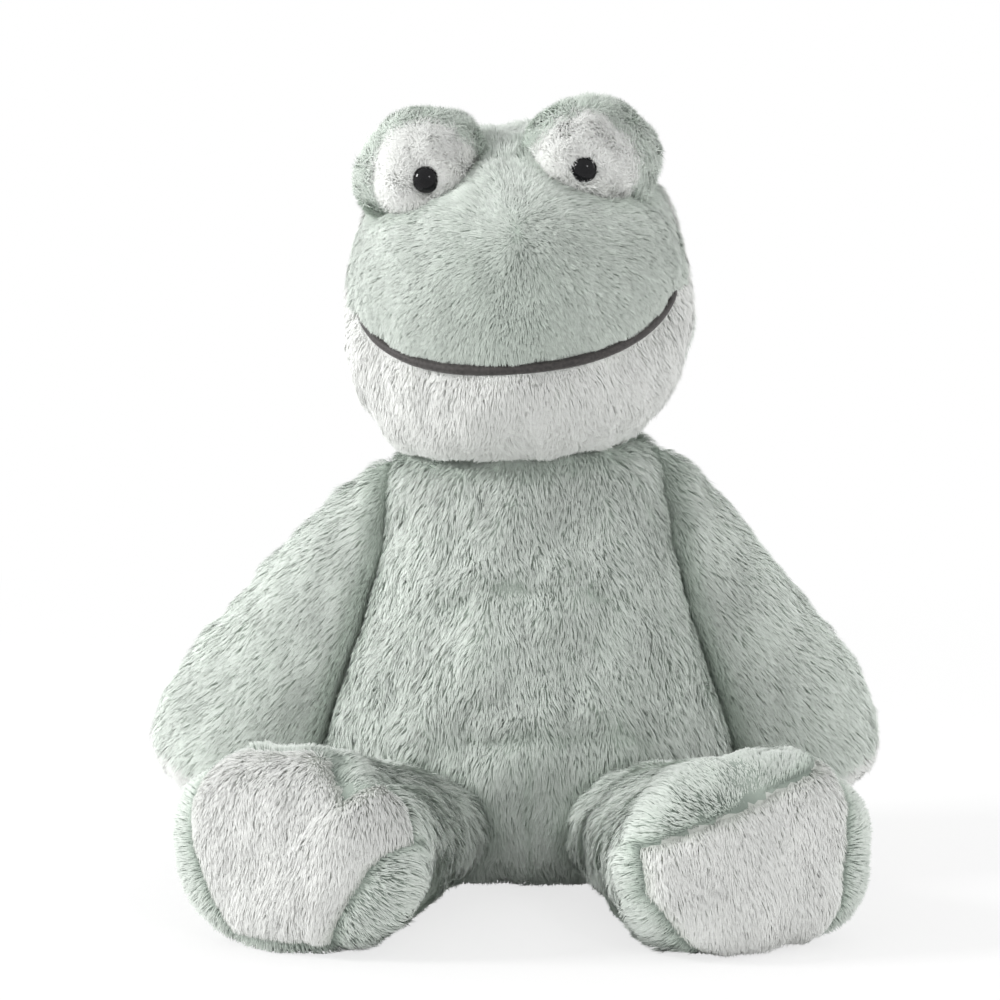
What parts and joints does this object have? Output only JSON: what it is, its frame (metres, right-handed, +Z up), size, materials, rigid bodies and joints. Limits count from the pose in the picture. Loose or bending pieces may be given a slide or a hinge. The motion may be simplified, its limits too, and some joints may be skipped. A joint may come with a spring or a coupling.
{
  "type": "plush frog",
  "caption": "Seated plush frog with a pear-shaped body, a wide smiling muzzle, raised bead eyes, floppy arms and forward legs with pale soles.",
  "frame": {"origin": "on the seat's flat face, under the middle of the torso, on the plane that the frog sits on", "axes": "+Z up, -Y the way the frog looks, +X to the frog's own left"},
  "size_m": [0.2421, 0.2043, 0.2598],
  "materials": {
    "green_plush": "sage green frosted faux fur",
    "cream_plush": "cream white faux fur",
    "fibre_filling": "white polyester fibre",
    "calico_pouch": "plain woven cotton",
    "smile_trim": "dark sewn trim with a satin sheen",
    "bead_gloss": "polished black",
    "washer_plastic": "plain white moulding"
  },
  "bodies": {
    "torso": {"torso_skin_left": "green_plush", "torso_skin_right": "green_plush", "seat_skin": "green_plush", "torso_filling": "fibre_filling", "bean_pouch": "calico_pouch"},
    "head": {"muzzle_skin": "green_plush", "jaw_skin": "cream_plush", "head_back_skin": "green_plush", "head_filling": "fibre_filling", "mouth_trim": "smile_trim", "eye_hood_left": "green_plush", "eye_hood_right": "green_plush", "eye_dome_left": "cream_plush", "eye_dome_right": "cream_plush", "eye_bead_left": "bead_gloss", "eye_bead_right": "bead_gloss", "eye_washer_left": "washer_plastic", "eye_washer_right": "washer_plastic", "eye_filling_left": "fibre_filling", "eye_filling_right": "fibre_filling"},
    "arm_left": {"arm_skin_left": "green_plush", "palm_left": "cream_plush", "arm_filling_left": "fibre_filling"},
    "leg_left": {"leg_skin_left": "green_plush", "sole_left": "cream_plush", "leg_filling_left": "fibre_filling"},
    "arm_right": {"arm_skin_right": "green_plush", "palm_right": "cream_plush", "arm_filling_right": "fibre_filling"},
    "leg_right": {"leg_skin_right": "green_plush", "sole_right": "cream_plush", "leg_filling_right": "fibre_filling"}
  },
  "joints": [
    {"name": "neck_nod", "type": "hinge", "parent": "torso", "child": "head", "pos_m": [0, 0, 0.081], "axis": [1, 0, 0], "range_deg": [-12, 15], "stiffness_Nm_per_rad": 0.6},
    {"name": "shoulder_lift_left", "type": "hinge", "parent": "torso", "child": "arm_left", "pos_m": [0.03953, 0, 0.15315], "axis": [0, -1, 0], "range_deg": [0, 60]},
    {"name": "shoulder_lift_right", "type": "hinge", "parent": "torso", "child": "arm_right", "pos_m": [-0.03953, 0, 0.1485], "axis": [0, 1, 0], "range_deg": [0, 60]},
    {"name": "hip_drop_left", "type": "hinge", "parent": "torso", "child": "leg_left", "pos_m": [0.02698, -0.04, 0.0006], "axis": [1, 0, 0], "range_deg": [0, 80]},
    {"name": "hip_drop_right", "type": "hinge", "parent": "torso", "child": "leg_right", "pos_m": [-0.02698, -0.04, 0.0006], "axis": [1, 0, 0], "range_deg": [0, 80]}
  ]
}
